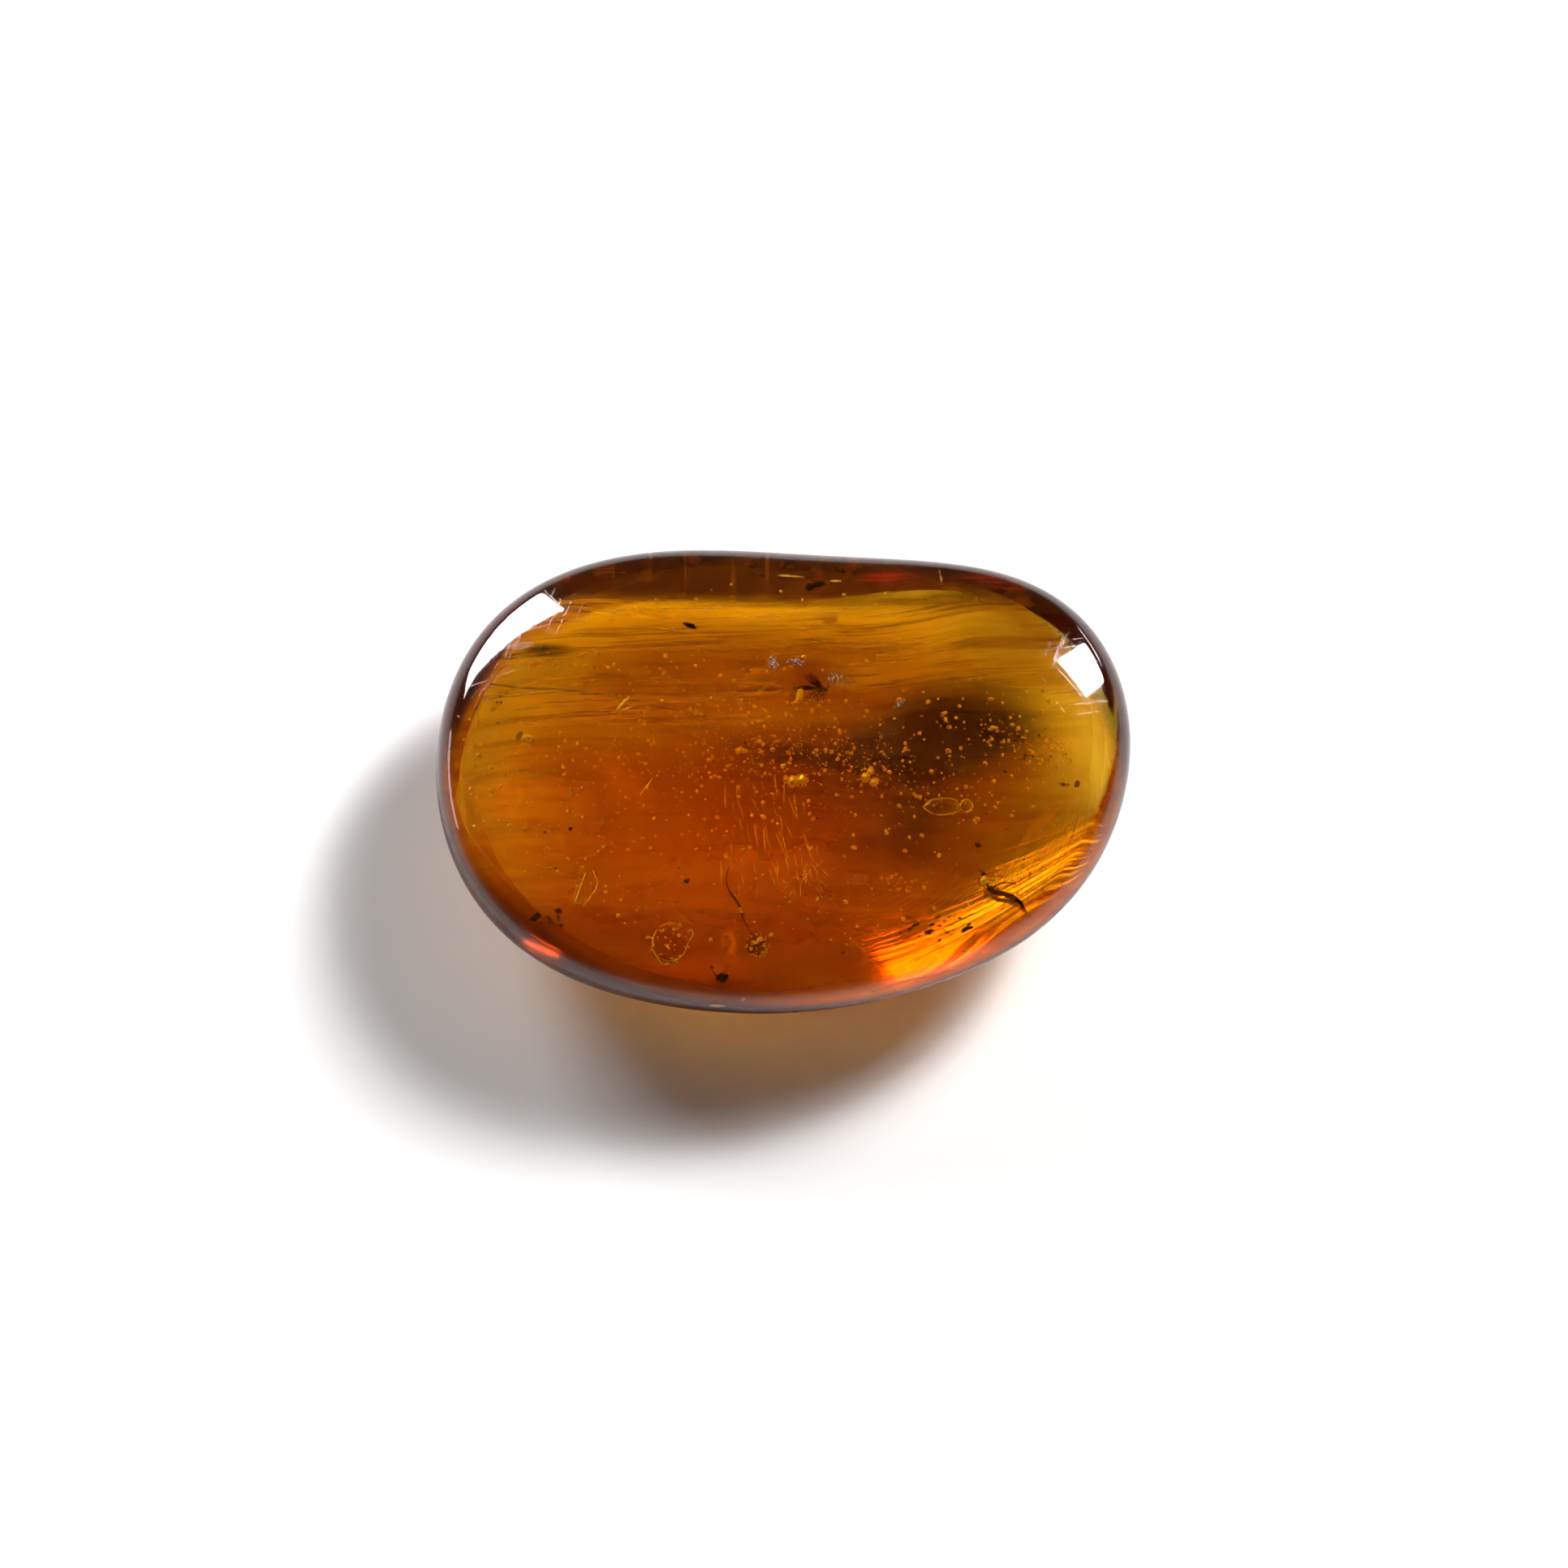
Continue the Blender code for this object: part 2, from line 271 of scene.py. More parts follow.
def noise(place, scale, detail=2.0, roughness=0.5):
    """Cloudy noise from 0 to 1, with this many features in a metre."""
    values = {"Vector": place, "Scale": scale, "Detail": detail, "Roughness": roughness}
    return place.node("ShaderNodeTexNoise", None, values)


def parts_of(place):
    """The X, Y and Z of a vector."""
    split = place.node("ShaderNodeSeparateXYZ", None, {0: place})
    node = split.socket.node
    return [Socket(place.tree, node.outputs[i]) for i in range(3)]


def vector(x, y, z):
    """The vector of three values, at least one of which is a Socket."""
    drawn = next(part for part in (x, y, z) if isinstance(part, Socket))
    return drawn.node("ShaderNodeCombineXYZ", None, {0: x, 1: y, 2: z})


def plan_turn(x, y):
    """The angle round the pebble's plan, in radians from +X, as if its outline were round."""
    return y.maths("ARCTAN2", y / HALF_WIDTH, x / HALF_LENGTH)


def plan_reach(x, y):
    """0 in the middle of the pebble's plan and about 1 at its outline."""
    return ((x / HALF_LENGTH) ** 2 + (y / HALF_WIDTH) ** 2) ** 0.5


def bump(height, depth, under=None):
    """A normal for relief of this depth, laid over the normal of another bump."""
    values = {"Height": height, "Distance": depth, "Strength": 1.0}
    if under:
        values["Normal"] = under
    return height.node("ShaderNodeBump", None, values)


amber, shader = new_material("clear_amber")
here = place_on(amber)
x, y, z = parts_of(here)
belly = ramp(z, BELLY_TOP, BELLY_START)
grain = noise(vector(plan_reach(x, y) * 26.0, plan_turn(x, y) * 1.2, 0.0), 1.0, 4.0, 0.6)
ripple = bump(grain * belly * ramp(x, -2.0 * MM, 6.0 * MM), BELLY_RIPPLE)
top = ramp(z, WIDEST_LEVEL, WIDEST_LEVEL + 0.5 * MM)
scratches = 0.0
for lean in SCRATCH_TURNS:
    turned = here.node(
        "ShaderNodeVectorRotate", {"rotation_type": "Z_AXIS"}, {0: here, 3: math.radians(lean)})
    across, along = parts_of(turned)[:2]
    lines = noise(vector(across * 9000.0, along * 220.0, lean), 1.0, 1.0)
    scratches = ramp(lines, 0.62, 0.68) + scratches
set_inputs(shader, {
    "Base Color": (1, 1, 1, 1), "Transmission Weight": 1.0, "IOR": AMBER_IOR,
    "Roughness": belly * ramp(z, *HAZE_LEVELS, BELLY_HAZE, WALL_HAZE) + POLISH_HAZE * top,
    "Normal": bump(scratches * top, SCRATCH_DEPTH, ripple)})
tint = here.node(
    "ShaderNodeVolumeAbsorption", None, {"Color": (*AMBER_TINT, 1.0), "Density": AMBER_DENSITY})
set_inputs(amber.node_tree.nodes["Material Output"], {"Volume": tint})


# Small bubbles of gas were caught in the flowing resin: one broad slanting band, a few shoals and
# strays. Their gold metal skins turn back nearly all the light that meets them, and the gold colour is
# a painted glint. The needles and the knot are gold slivers that paint the glint of fine cracks, and
# the bulb and disc glints are painted sparkles.
# Each row holds a swarm's count, middle, half sizes, turn in degrees, smallest and largest radius,
# stretch and spin, in millimetres.
SWARMS = {
    "band": (460, (3.3, 0.9, 6.9), (12.5, 3.2, 0.7), -5, 0.03, 0.12, (1.2, 1.0, 1.0), 3.2),
    "crowd": (120, (0.6, 1.3, 7.2), (7.0, 1.9, 0.6), -8, 0.03, 0.09, (1.2, 1.0, 1.0), 3.2),
    "row": (34, (-11.2, 5.6, 7.8), (2.7, 0.4, 0.2), -3, 0.06, 0.11, (1.0, 1.0, 1.0), 0.0),
    "cluster": (26, (6.1, -5.8, 6.4), (1.3, 0.6, 0.3), -8, 0.05, 0.12, (1.0, 1.0, 1.0), 0.0),
    "strays": (760, (-0.6, 0.4, 7.2), (15.6, 10.0, 1.2), 0, 0.024, 0.12, (1.3, 1.0, 1.0), 3.2),
    "streak": (80, (12.4, 1.8, 6.8), (3.0, 1.2, 0.4), -25, 0.035, 0.11, (1.2, 1.0, 1.0), 3.2),
    "needles": (60, (-0.9, -3.6, 6.2), (2.8, 3.4, 0.8), 12, 0.3, 0.8, (0.05, 1.0, 0.05), 0.25),
    "knot": (26, (1.0, -5.6, 6.6), (1.3, 1.0, 0.2), 10, 0.25, 0.5, (0.07, 1.0, 0.07), 0.9),
    "bulb_glints": (44, (-1.37, -8.9, 6.5), (0.6, 0.66, 0.4), 0, 0.05, 0.13, (1.0, 1.0, 1.0), 0.0),
    "disc_glints": (26, (-5.8, -8.9, 6.85), (1.05, 1.1, 0.02), 0, 0.04, 0.09, (2.0, 0.7, 0.5), 3.2),
    "left_strays": (230, (-8.6, 1.2, 7.5), (8.4, 8.2, 0.6), 12, 0.035, 0.095, (1.2, 1.0, 1.0), 3.2),
}
# Each row holds a bubble's middle, half sizes and turn. The thin dashes and the few specks by the near
# rim are painted glints rather than bubbles.
CRUMPLED_BUBBLES_AND_GLINTS = [
    ((0.85, -0.64, 7.6), (0.42, 0.34, 0.28), 20), ((0.45, -0.7, 7.6), (0.26, 0.34, 0.2), -10),
    ((0.1, -0.6, 7.6), (0.16, 0.24, 0.14), 0), ((4.2, -0.5, 7.6), (0.26, 0.28, 0.2), 0),
    ((4.65, -0.75, 7.6), (0.28, 0.22, 0.2), 40), ((4.45, -0.2, 7.7), (0.2, 0.18, 0.16), 0),
    ((-2.2, 1.0, 7.4), (0.34, 0.14, 0.12), -8), ((-1.2, 4.2, 7.4), (0.3, 0.16, 0.12), 40),
    ((-13.1, 1.6, 7.6), (0.4, 0.26, 0.14), -25), ((10.15, -5.6, 6.9), (0.3, 0.2, 0.14), 30),
    ((2.4, 8.1, 7.8), (0.42, 0.3, 0.1), 10), ((0.3, 10.6, 7.4), (0.7, 0.06, 0.05), -4),
    ((2.7, 10.3, 7.4), (0.3, 0.06, 0.05), 0), ((8.2, 10.6, 7.3), (0.05, 0.35, 0.05), 8),
    ((-8.4, 3.4, 7.9), (0.6, 0.09, 0.06), 50), ((-8.1, 3.2, 7.9), (0.35, 0.07, 0.06), 20),
    ((-7.1, -1.1, 7.9), (0.5, 0.04, 0.04), 55),
    ((0.8, 3.9, 7.7), (0.2, 0.4, 0.1), -15), ((0.6, 3.6, 7.7), (0.3, 0.08, 0.06), 30),
    ((4.6, -11.5, 7.4), (0.16, 0.1, 0.08), 0), ((-3.4, -12.1, 7.0), (0.4, 0.05, 0.05), 0),
    ((-2.1, -11.9, 7.4), (0.12, 0.08, 0.06), 30), ((9.2, -9.4, 7.6), (0.1, 0.07, 0.06), 0),
]
GLINT_EDGE_RADIUS = 0.035
# Both golds are painted glint colours for the beads.
GLINT_GOLD = (1.0, 0.8, 0.42)
DULL_GLINT_GOLD = (0.45, 0.14, 0.02)
# These gold strands are painted glints along the edges of the crack disc, the flat split and the two
# largest bubbles.
GLINT_EDGES = [
    [(-6.7, -9.1, 6.85), (-6.6, -8.5, 6.85), (-6.2, -8.0, 6.9), (-5.6, -7.9, 6.9), (-5.2, -8.1, 6.85)],
    [(-6.7, -9.2, 6.85), (-6.4, -9.7, 6.8), (-6.0, -10.0, 6.8), (-5.9, -9.9, 6.8)],
    [(-5.0, -8.4, 6.85), (-4.7, -8.3, 6.9), (-4.9, -9.0, 6.85), (-5.2, -9.6, 6.85), (-5.6, -9.8, 6.8)],
    [(-9.7, -5.3, 7.3), (-9.5, -6.0, 7.3), (-9.8, -6.6, 7.3), (-10.2, -7.1, 7.3)],
    [(-10.1, -5.4, 7.3), (-10.4, -6.3, 7.3), (-10.6, -6.9, 7.3)],
    [(7.15, -2.1, 7.6), (7.5, -1.75, 7.65), (8.1, -1.62, 7.65), (8.8, -1.7, 7.6), (9.05, -2.0, 7.6)],
    [(7.2, -2.15, 7.6), (7.6, -2.42, 7.6), (8.2, -2.48, 7.6), (8.8, -2.3, 7.6)],
    [(9.0, -1.9, 7.6), (9.25, -1.66, 7.6), (9.6, -1.8, 7.6), (9.65, -2.1, 7.6), (9.35, -2.32, 7.6)],
]


def new_group(name, inputs):
    """A Geometry Nodes tree with these named inputs, as (tree, {name: Socket})."""
    tree = bpy.data.node_groups.new(name, "GeometryNodeTree")
    for label, kind in inputs.items():
        tree.interface.new_socket(label, in_out="INPUT", socket_type="NodeSocket" + kind)
    tree.interface.new_socket("Geometry", in_out="OUTPUT", socket_type="NodeSocketGeometry")
    given = tree.nodes.new("NodeGroupInput")
    return tree, {label: Socket(tree, given.outputs[label]) for label in inputs}


def plain_mesh(obj):
    """The mesh that an object's curve or modifiers make. The object is removed."""
    evaluated = obj.evaluated_get(bpy.context.evaluated_depsgraph_get())
    mesh = bpy.data.meshes.new_from_object(evaluated)
    bpy.data.objects.remove(obj, do_unlink=True)
    return mesh


def grow(name, tree, values):
    """The plain mesh that a Geometry Nodes tree makes from these values of its inputs."""
    holder = new_object(name, bpy.data.meshes.new(name))
    modifier = holder.modifiers.new(name, "NODES")
    modifier.node_group = tree
    for item in tree.interface.items_tree:
        if item.in_out == "INPUT":
            modifier[item.identifier] = values[item.name]
    return plain_mesh(holder)


def swarm_tree():
    """A cloud of stretched balls, strewn through an ellipsoid and most of them small."""
    tree, given = new_group("swarm", {
        "Count": "Int", "Reach": "Vector", "Place": "Vector", "Turn": "Vector",
        "Smallest": "Float", "Largest": "Float", "Stretch": "Vector", "Spin": "Float",
        "Seed": "Int", "Material": "Material"})
    count, seed = given["Count"], given["Seed"]

    def chance(step):
        values = {2: 0.0, 3: 1.0, 8: seed + step}
        return seed.node("FunctionNodeRandomValue", {"data_type": "FLOAT"}, values, 1)

    def multiply(one, other):
        return seed.node("ShaderNodeVectorMath", {"operation": "MULTIPLY"}, {0: one, 1: other})

    turn, share = chance(1) * math.tau, chance(2) ** 0.7
    level = (chance(3) * 2.0 - 1.0) * (1.0 - share * share)
    around = vector(share * turn.maths("COSINE", turn), share * turn.maths("SINE", turn), level)
    points = count.node("GeometryNodePoints", None, {
        "Count": count, "Position": multiply(around, given["Reach"])})
    size = given["Smallest"] + (given["Largest"] - given["Smallest"]) * chance(4) ** 3.0
    shape = multiply(vector(size * (0.8 + 0.5 * chance(5)), size, size), given["Stretch"])
    spin = given["Spin"] * (chance(6) * 2.0 - 1.0)
    ball = count.node("GeometryNodeMeshIcoSphere", None, {"Radius": 1.0, "Subdivisions": 2})
    placed = count.node("GeometryNodeInstanceOnPoints", None, {
        "Points": points, "Instance": ball,
        "Rotation": vector(spin * 0.3, spin * 0.2, spin), "Scale": shape})
    moved = count.node("GeometryNodeTransform", None, {
        "Geometry": placed, "Translation": given["Place"], "Rotation": given["Turn"]})
    real = count.node("GeometryNodeRealizeInstances", None, {"Geometry": moved})
    smooth = count.node("GeometryNodeSetShadeSmooth", None, {"Geometry": real})
    shown = count.node("GeometryNodeSetMaterial", None, {
        "Geometry": smooth, "Material": given["Material"]})
    out = tree.nodes.new("NodeGroupOutput")
    set_inputs(out, {"Geometry": shown})
    return tree


swarm = swarm_tree()


def swarm_meshes(table, first_seed, material):
    """One mesh for each row of a table of swarms."""
    meshes = []
    for i, (name, row) in enumerate(table.items()):
        count, place, reach, turn, smallest, largest, stretch, spin = row
        meshes.append(grow(name, swarm, {
            "Count": count, "Reach": Vector(reach) * MM, "Place": Vector(place) * MM,
            "Turn": (0, 0, math.radians(turn)), "Smallest": smallest * MM, "Largest": largest * MM,
            "Stretch": stretch, "Spin": spin, "Seed": first_seed + i * 100, "Material": material}))
    return meshes


def ball_mesh(name, place, half_size, turn, wrinkle=0.12, grain=2.5, sides=40):
    """A ball stretched to these half sizes, in millimetres, with an uneven wrinkled skin."""
    ball = bmesh.new()
    bmesh.ops.create_uvsphere(ball, u_segments=sides, v_segments=sides // 2, radius=1.0)
    for vert in ball.verts:
        vert.co *= 1.0 + wrinkle * fractal(vert.co * grain + Vector(place), 0.8, 2.0, 3)
    bmesh.ops.scale(ball, vec=Vector(half_size) * MM, verts=ball.verts)
    bmesh.ops.rotate(ball, matrix=Matrix.Rotation(math.radians(turn), 3, "Z"), verts=ball.verts)
    bmesh.ops.translate(ball, vec=Vector(place) * MM, verts=ball.verts)
    return smooth_mesh(name, ball)


def strand_mesh(name, points, radius, thin=0.5):
    """A round strand through these points, in millimetres, that ends this share as thick."""
    curve = bpy.data.curves.new(name, "CURVE")
    curve.dimensions = "3D"
    curve.bevel_depth = radius * MM
    curve.bevel_resolution = 2
    curve.use_fill_caps = True
    curve.resolution_u = 8
    spline = curve.splines.new("BEZIER")
    spline.bezier_points.add(len(points) - 1)
    for i, (point, place) in enumerate(zip(spline.bezier_points, points)):
        point.co = Vector(place) * MM
        point.handle_left_type = point.handle_right_type = "AUTO"
        point.radius = 1.0 - (1.0 - thin) * i / (len(points) - 1)
    mesh = plain_mesh(new_object(name, curve))
    mesh.shade_smooth()
    return mesh


def join(name, meshes, turned_in=()):
    """One mesh of several, with those in turned_in facing inwards."""
    whole = bmesh.new()
    for mesh in meshes:
        whole.from_mesh(mesh)
    outer = len(whole.faces)
    for mesh in turned_in:
        whole.from_mesh(mesh)
    whole.faces.ensure_lookup_table()
    bmesh.ops.reverse_faces(whole, faces=whole.faces[outer:])
    return smooth_mesh(name, whole)


def two_tone(mask, low, high):
    """The colour low where the mask is 0, going over to high where it is 1."""
    low, high = [tone if isinstance(tone, Socket) else (*tone, 1.0) for tone in (low, high)]
    return mask.node("ShaderNodeMix", {"data_type": "RGBA"}, {0: mask, 6: low, 7: high}, 2)


# The beads' gold skin, brighter or duller at random, paints the glint of the bubbles; its metal also
# reflects the lamps.
glint_skin, shader = new_material("bubble_glint_gold")
glint_tone = ramp(noise(place_on(glint_skin), 5200.0, 2.0), 0.3, 0.46)
set_inputs(shader, {
    "Base Color": two_tone(glint_tone, DULL_GLINT_GOLD, GLINT_GOLD), "Metallic": 0.75, "Roughness": 0.36})
beads = swarm_meshes(SWARMS, 0, glint_skin)
beads += [ball_mesh("bubble", *bubble, wrinkle=0.2, grain=1.6) for bubble in CRUMPLED_BUBBLES_AND_GLINTS]
beads += [strand_mesh("edge", points, GLINT_EDGE_RADIUS, 0.7) for points in GLINT_EDGES]
bead_mesh = join("bubbles_and_glints", beads)
bead_mesh.materials.append(glint_skin)
bubbles_and_glints = new_object("bubbles_and_glints", bead_mesh)
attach(bubbles_and_glints, "root")


# The larger bubbles, the crack disc and the flat splits are voids in the resin itself, so their
# wrinkled shells are part of the amber's own mesh and face inwards.
LARGE_BUBBLES = [
    ((8.1, -2.05, 7.6), (0.95, 0.42, 0.12), -6),
    ((9.3, -2.0, 7.6), (0.38, 0.34, 0.1), 20),
    ((-5.8, -8.9, 6.8), (0.95, 0.95, 0.05), 10), ((-10.1, -6.1, 7.3), (0.45, 0.95, 0.04), -25),
    ((10.1, -5.66, 6.9), (0.32, 0.22, 0.14), 30), ((10.5, -5.5, 6.9), (0.2, 0.16, 0.1), 0),
]

voids = [ball_mesh("bubble", *bubble) for bubble in LARGE_BUBBLES]
amber_mesh = join("clear_amber", [amber_mesh], voids)
amber_mesh.materials.append(amber)
clear_amber = new_object("clear_amber", amber_mesh)
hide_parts("amber_upper", "amber_lower")
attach(clear_amber, "root")


# Veils are thin layers of cloudy resin, each where one flow set before the next ran over it. One lies
# just under the polished top, one hangs deep inside, and two line the far and near edges. The deep one
# also carries painted shade and painted glow, and the edge ones carry painted shade along the rims, a
# painted red glint and painted gold light beside the bright split.
VEIL_RINGS = 40
VEIL_SIDES = 128


def veil_mesh(name, level, tilt, wave, reach):
    """A wavy sheet of the pebble's own outline at this level, in millimetres."""
    sheet = bmesh.new()
    rings = [[sheet.verts.new((0, 0, 0))]]
    for ring in range(1, VEIL_RINGS + 1):
        share = reach * ring / VEIL_RINGS
        angles = [math.tau * side / VEIL_SIDES for side in range(VEIL_SIDES)]
        rings.append([sheet.verts.new((*(share * Vector(outline(a)) * MM), 0)) for a in angles])
    for inner, outer in zip(rings, rings[1:]):
        for side in range(VEIL_SIDES):
            after = (side + 1) % VEIL_SIDES
            if len(inner) == 1:
                sheet.faces.new((inner[0], outer[side], outer[after]))
            else:
                sheet.faces.new((inner[side], outer[side], outer[after], inner[after]))
    for vert in sheet.verts:
        x, y = vert.co.x / MM, vert.co.y / MM
        bend = wave * (math.sin(0.5 * x + 0.3 * y) + math.sin(0.9 * y - 0.2 * x))
        vert.co.z = (level + tilt * y + bend) * MM
    return smooth_mesh(name, sheet)


def veil(name, mesh, material, shader, cover, tone, layers):
    """A veil piece that hides as much as cover, in one tone under (mask, tone) layers."""
    for mask, layer_tone in layers:
        tone = two_tone(mask, tone, layer_tone)
    set_inputs(shader, {
        "Base Color": tone, "Roughness": 0.6, "Specular IOR Level": 0.0, "Alpha": cover})
    mesh.materials.append(material)
    obj = new_object(name, mesh)
    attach(obj, "root")


def blot(x, y, centre, half_size, turn=0.0):
    """1 in the middle of a soft oval patch of the plan, fading to 0 at its edge."""
    cosine, sine = math.cos(math.radians(turn)), math.sin(math.radians(turn))
    u = ((x - centre[0] * MM) * cosine + (y - centre[1] * MM) * sine) / (half_size[0] * MM)
    v = ((y - centre[1] * MM) * cosine - (x - centre[0] * MM) * sine) / (half_size[1] * MM)
    return ramp((u * u + v * v) ** 0.5, 1.0, 0.0)


def flow_streaks(here, along, across, slant=0.0):
    """Noise drawn out along X, in features per metre."""
    x, y, z = parts_of(here)
    bend = noise(here, 80.0, 1.0) * (2.2 * MM)
    return noise(vector(x * along, (y + x * slant + bend) * across, z * across), 1.0, 4.0, 0.6)


HONEY = (1.0, 0.46, 0.012)
BROWN_LINE = (0.2, 0.055, 0.004)
OLIVE = (0.3, 0.1, 0.003)
GOLD_LINE = (0.95, 0.45, 0.02)
DARK_SMEAR = (0.05, 0.012, 0.002)

resin, shader = new_material("upper_veil")
here = place_on(resin)
x, y = parts_of(here)[:2]
lines = ramp(flow_streaks(here, 110.0, 4200.0, -0.07), 0.48, 0.62)
streaks = ramp(flow_streaks(here, 60.0, 1100.0, -0.06), 0.5, 0.68)
broad = ramp(flow_streaks(here, 30.0, 260.0, -0.04), 0.35, 0.65)
upper = ramp(y, -1.0 * MM, 5.0 * MM, 0.15, 1.0) * ramp(y + 0.02 * x, 9.6 * MM, 8.8 * MM)
sides = ramp(x.maths("ABSOLUTE", x), 9.0 * MM, 15.0 * MM, 0.0, 0.5) * ramp(y, 6.0 * MM, 0.0)
gold_lines = ramp(flow_streaks(here, 70.0, 2600.0, 0.16), 0.5, 0.6)
gold_lines = blot(x, y, (-8.2, 8.3), (5.5, 1.1), -10) * gold_lines
smear = ramp(flow_streaks(here, 150.0, 2200.0, -0.05), 0.4, 0.55)
smear = blot(x, y, (-12.4, 6.4), (2.8, 0.7), -4) * smear
corner = blot(x, y, (11.5, 7.0), (7.0, 4.0), -10)
cover = (0.25 + 0.35 * broad + 0.3 * streaks) * upper.maths("MAXIMUM", upper, sides) + 0.03
cover = (cover + 0.6 * gold_lines + 0.8 * smear + 0.4 * corner).at_most(0.9)
over_midge = blot(x, y, (1.45, 4.7), (2.4, 1.9))
# The cover thins over the deep veil's painted shade.
over_painted_shadow = blot(x, y, (8.6, 2.6), (8.5, 3.4), -4)
cover = cover * (1.0 - 0.92 * over_midge) * (1.0 - 0.75 * over_painted_shadow)
dark = 0.5 * lines + 0.5 * streaks
sheet = veil_mesh("upper_veil", level=8.1, tilt=-0.02, wave=0.12, reach=0.88)
veil("upper_veil", sheet, resin, shader, cover, HONEY, [
    (dark, BROWN_LINE), (corner, OLIVE), (gold_lines, GOLD_LINE), (smear, DARK_SMEAR)])

# The deep veil's sooty patches across the middle and right are painted shade.
ORANGE_HAZE = (1.0, 0.35, 0.012)
BROWN_FLOW = (0.3, 0.07, 0.004)
GOLD_GLOW = (1.0, 0.6, 0.014)
PAINTED_SHADE_DARK = (0.02, 0.008, 0.002)

resin, shader = new_material("haze_and_painted_shade_veil")
here = place_on(resin)
x, y = parts_of(here)[:2]
painted_shadow = ramp(flow_streaks(here, 50.0, 160.0, 0.05), 0.2, 0.6, 0.6, 1.0)
painted_shadow = blot(x, y, (9.5, 3.4), (7.5, 4.2), 6) * painted_shadow
middle = ramp(flow_streaks(here, 60.0, 400.0, 0.05), 0.25, 0.55, 0.4, 1.0)
middle = blot(x, y, (3.6, 0.8), (11.0, 3.8), -5) * middle
haze = ramp(flow_streaks(here, 60.0, 300.0, 0.05), 0.3, 0.7, 0.05, 0.3)
# The glow patches, low in the middle and on the left, are painted light.
glow = ramp(noise(here, 260.0, 3.0), 0.3, 0.6, 0.4, 1.0)
glow = blot(x, y, (-1.5, -4.5), (11.0, 7.0)) * glow
left_glow = ramp(flow_streaks(here, 60.0, 500.0, 0.1), 0.3, 0.6, 0.5, 1.0)
left_glow = blot(x, y, (-13.2, -2.6), (6.2, 6.4)) * left_glow
dark_flow = 0.6 * ramp(flow_streaks(here, 70.0, 600.0, 0.14), 0.5, 0.64)
shade = blot(x, y, (6.8, -2.9), (6.6, 3.4), 16)
cover = haze + 0.95 * painted_shadow + 0.85 * middle + 0.5 * shade + 0.45 * glow + 0.8 * left_glow
dark = (painted_shadow * 1.8 + 1.3 * middle + 0.9 * shade).at_most(1.0)
sheet = veil_mesh("haze_and_painted_shade_veil", level=5.0, tilt=0.0, wave=0.2, reach=0.9)
veil("haze_and_painted_shade_veil", sheet, resin, shader, cover.at_most(0.96), ORANGE_HAZE, [
    (dark_flow, BROWN_FLOW), (left_glow, GOLD_GLOW), (dark, PAINTED_SHADE_DARK)])

# The far edge veil's dark brown is partly brown streaks along the far edge and partly painted shade
# filling the dark band there; its red patches are a painted glint.
EDGE_BROWN_AND_SHADE = (0.07, 0.026, 0.008)
PALE_EDGE = (0.17, 0.055, 0.012)
CRACK_BROWN = (0.3, 0.1, 0.02)
PAINTED_RED_GLINT = (0.6, 0.03, 0.05)

resin, shader = new_material("edge_veil")
here = place_on(resin)
x, y = parts_of(here)[:2]
edge_line = y - 9.0 * MM + 0.02 * x + noise(here, 120.0, 3.0) * (0.6 * MM)
cracks = ramp(noise(vector(x * 900.0, y * 30.0, 0.0), 1.0, 2.0), 0.62, 0.7)
cracks = cracks * ramp(x, 4.0 * MM, -4.0 * MM)
painted_glow = blot(x, y, (5.6, 10.5), (2.2, 0.5), -2) + blot(x, y, (11.0, 10.3), (2.6, 0.5), -8)
painted_glow = painted_glow * ramp(flow_streaks(here, 100.0, 2500.0), 0.4, 0.6)
cover = ramp(flow_streaks(here, 60.0, 500.0), 0.25, 0.6, 0.5, 0.9)
cover = ramp(edge_line, -0.1 * MM, 0.5 * MM) * cover
gap = (3.0 * blot(x, y, (1.65, 10.03), (0.75, 0.45))).at_most(1.0)
pale = ramp(noise(here, 700.0, 4.0), 0.5, 0.7) + 0.5 * blot(x, y, (1.65, 10.0), (3.5, 1.2))
sheet = veil_mesh("edge_veil", level=7.2, tilt=0.0, wave=0.05, reach=0.96)
veil("edge_veil", sheet, resin, shader, cover * (1.0 - gap), EDGE_BROWN_AND_SHADE, [
    (pale, PALE_EDGE), (cracks, CRACK_BROWN), (painted_glow, PAINTED_RED_GLINT)])

# On the near veil the rim shade and the dark brown rim edge are painted shade, and the gold beam on
# the right and the gold patch beside the bright split are painted light.
AMBER_FLOW = (0.9, 0.3, 0.012)
AMBER_STREAK = (1.0, 0.42, 0.03)
RED_FLOW = (0.55, 0.11, 0.008)
DEEP_BROWN = (0.32, 0.09, 0.01)
RIM_SHADE_BROWN = (0.07, 0.02, 0.007)
PAINTED_BEAM_GOLD = (1.0, 0.45, 0.02)
PAINTED_GOLD_GLOW = (1.0, 0.4, 0.02)
SCALE_ORANGE = (1.0, 0.26, 0.01)

resin, shader = new_material("near_veil")
here = place_on(resin)
x, y = parts_of(here)[:2]
reach = plan_reach(x, y)
rim_shade = ramp(reach, 0.88, 0.96)
near = ramp(y, -2.0 * MM, -7.0 * MM) * ramp(reach, 0.78, 0.93)
streaks = ramp(flow_streaks(here, 100.0, 1500.0), 0.4, 0.65)
painted_beam = blot(x, y, (13.3, -2.4), (3.4, 0.55), 47) * ramp(x, 10.5 * MM, 13.0 * MM)
painted_glow = blot(x, y, (7.0, -7.6), (5.5, 3.0), 15)
scale = blot(x, y, (-2.8, -8.9), (0.6, 1.2), 5) * ramp(noise(here, 1500.0, 3.0), 0.4, 0.5, 0.3, 1.0)
painted_rim_shade = ramp(reach, 0.92, 0.965)
